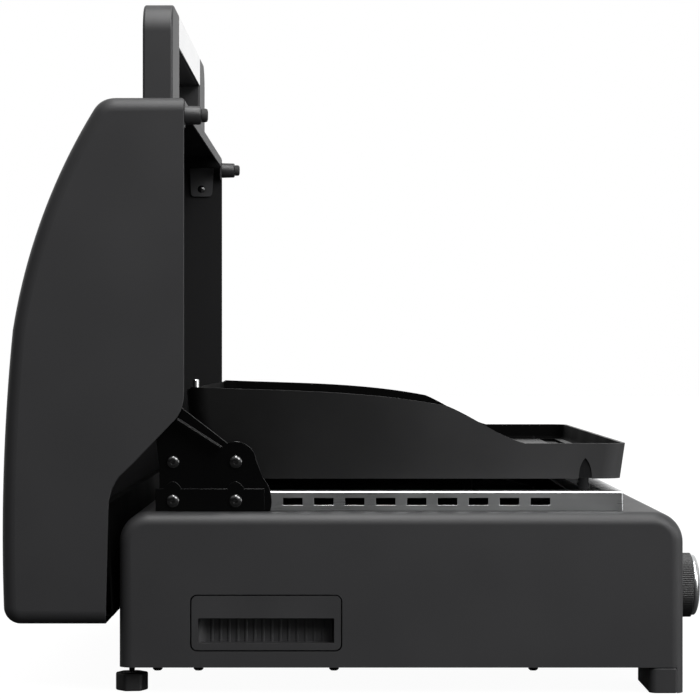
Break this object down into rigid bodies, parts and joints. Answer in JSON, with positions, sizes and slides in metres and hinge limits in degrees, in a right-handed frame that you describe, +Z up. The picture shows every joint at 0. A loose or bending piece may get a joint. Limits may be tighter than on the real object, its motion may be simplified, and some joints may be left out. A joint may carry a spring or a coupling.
{
  "type": "tabletop gas griddle",
  "caption": "Tabletop gas griddle with its rear-hinged hood standing open, a lift-off flat-top plate in a slotted wind guard, a bar handle, side grips, front knobs and a grease tray.",
  "frame": {"origin": "centre of the whole object's footprint box with the hood open, on the surface it stands on", "axes": "+X along the width, to the right as the user faces the knobs; -Y towards the front with the knobs; +Z up"},
  "size_m": [0.66, 0.5903, 0.574],
  "materials": {
    "painted_steel": "satin dark charcoal powder coat",
    "painted_alloy": "cast alloy with the same satin dark charcoal powder coat",
    "black_steel": "matt black powder coat",
    "gloss_black_steel": "glossy black enamel",
    "stainless_steel": "brushed stainless",
    "plated_steel": "dull zinc-plated or bare steel",
    "griddle_steel": "cold-rolled steel plate with a smooth dark satin coat",
    "black_plastic": "satin moulded black plastic",
    "bumper_plastic": "glossy moulded black",
    "bumper_rubber": "matt black rubber",
    "brass_fitting": "machined brass",
    "electrode_ceramic": "white glazed ceramic with a steel tip"
  },
  "bodies": {
    "root": {"bottom_pan": "black_steel", "burner_left": "plated_steel", "burner_right": "plated_steel", "front_foot_left": "painted_steel", "front_foot_right": "painted_steel", "front_panel": "painted_steel", "gas_inlet": "brass_fitting", "gas_manifold": "plated_steel", "gas_pipe": "plated_steel", "gas_valve_left": "brass_fitting", "gas_valve_right": "brass_fitting", "grip_cup_left": "black_plastic", "grip_cup_right": "black_plastic", "heat_shield": "plated_steel", "hinge_mount_left": "gloss_black_steel", "hinge_mount_right": "gloss_black_steel", "igniter_electrode_left": "electrode_ceramic", "igniter_electrode_right": "electrode_ceramic", "igniter_module": "black_plastic", "pivot_bolt_left": "gloss_black_steel", "pivot_bolt_right": "gloss_black_steel", "rear_panel": "black_steel", "side_panel_left": "painted_steel", "side_panel_right": "painted_steel", "stop_bolt_left": "gloss_black_steel", "stop_bolt_right": "gloss_black_steel", "top_deck": "painted_steel", "wind_guard": "stainless_steel"},
    "hood": {"hood_shell": "painted_steel", "hood_side_left": "painted_steel", "hood_side_right": "painted_steel", "hood_lip": "painted_steel", "hood_baffle": "black_steel", "hinge_arm_left": "gloss_black_steel", "hinge_arm_right": "gloss_black_steel", "arm_bolt_front_left": "gloss_black_steel", "arm_bolt_front_right": "gloss_black_steel", "arm_bolt_rear_left": "gloss_black_steel", "arm_bolt_rear_right": "gloss_black_steel", "bumper_left": "bumper_plastic", "bumper_right": "bumper_plastic", "bumper_tip_left": "bumper_rubber", "bumper_tip_right": "bumper_rubber", "handle_bracket_left": "painted_alloy", "handle_bracket_right": "painted_alloy", "handle_bar": "painted_alloy", "handle_trim": "stainless_steel"},
    "griddle": {"griddle_plate": "griddle_steel"},
    "grease_tray": {"grease_tray": "stainless_steel"},
    "igniter_button": {"igniter_button": "black_plastic"},
    "valve_stem_left": {"valve_stem_left": "brass_fitting"},
    "knob_left": {"knob_left": "black_plastic", "knob_cap_left": "stainless_steel"},
    "rear_foot_stem_left": {"rear_foot_stem_left": "plated_steel"},
    "rear_foot_knob_left": {"rear_foot_knob_left": "black_plastic"},
    "valve_stem_right": {"valve_stem_right": "brass_fitting"},
    "knob_right": {"knob_right": "black_plastic", "knob_cap_right": "stainless_steel"},
    "rear_foot_stem_right": {"rear_foot_stem_right": "plated_steel"},
    "rear_foot_knob_right": {"rear_foot_knob_right": "black_plastic"}
  },
  "joints": [
    {"name": "hood_hinge", "type": "hinge", "parent": "root", "child": "hood", "pos_m": [0, 0.1044, 0.1561], "axis": [1, 0, 0], "range_deg": [0, 95.5]},
    {"name": "griddle_lift", "type": "slide", "parent": "root", "child": "griddle", "axis": [0, 0, 1], "range_m": [0, 0.008]},
    {"name": "grease_tray_slide", "type": "slide", "parent": "root", "child": "grease_tray", "axis": [0, -1, 0], "range_m": [0, 0.12]},
    {"name": "igniter_press", "type": "slide", "parent": "root", "child": "igniter_button", "axis": [0, 1, 0], "range_m": [0, 0.004], "stiffness_N_per_m": 800, "springref_m": -0.002},
    {"name": "knob_press_left", "type": "slide", "parent": "root", "child": "valve_stem_left", "axis": [0, 1, 0], "range_m": [0, 0.003], "stiffness_N_per_m": 1200, "springref_m": -0.002},
    {"name": "knob_turn_left", "type": "hinge", "parent": "valve_stem_left", "child": "knob_left", "pos_m": [-0.165, -0.2765, 0.0743], "axis": [0, -1, 0], "range_deg": [0, 180]},
    {"name": "rear_foot_screw_left", "type": "slide", "parent": "root", "child": "rear_foot_stem_left", "axis": [0, 0, -1], "range_m": [0, 0.008]},
    {"name": "rear_foot_turn_left", "type": "hinge", "parent": "rear_foot_stem_left", "child": "rear_foot_knob_left", "pos_m": [-0.305, 0.1903, 0.0075], "axis": [0, 0, 1], "range_deg": [0, 2881]},
    {"name": "knob_press_right", "type": "slide", "parent": "root", "child": "valve_stem_right", "axis": [0, 1, 0], "range_m": [0, 0.003], "stiffness_N_per_m": 1200, "springref_m": -0.002},
    {"name": "knob_turn_right", "type": "hinge", "parent": "valve_stem_right", "child": "knob_right", "pos_m": [0.165, -0.2765, 0.0743], "axis": [0, -1, 0], "range_deg": [0, 180]},
    {"name": "rear_foot_screw_right", "type": "slide", "parent": "root", "child": "rear_foot_stem_right", "axis": [0, 0, -1], "range_m": [0, 0.008]},
    {"name": "rear_foot_turn_right", "type": "hinge", "parent": "rear_foot_stem_right", "child": "rear_foot_knob_right", "pos_m": [0.305, 0.1903, 0.0075], "axis": [0, 0, 1], "range_deg": [0, 2881]}
  ],
  "couplings": [
    {"joint": "rear_foot_turn_left", "follows": "rear_foot_screw_left", "rad_per_m": 6283.2},
    {"joint": "rear_foot_turn_right", "follows": "rear_foot_screw_right", "rad_per_m": 6283.2}
  ]
}
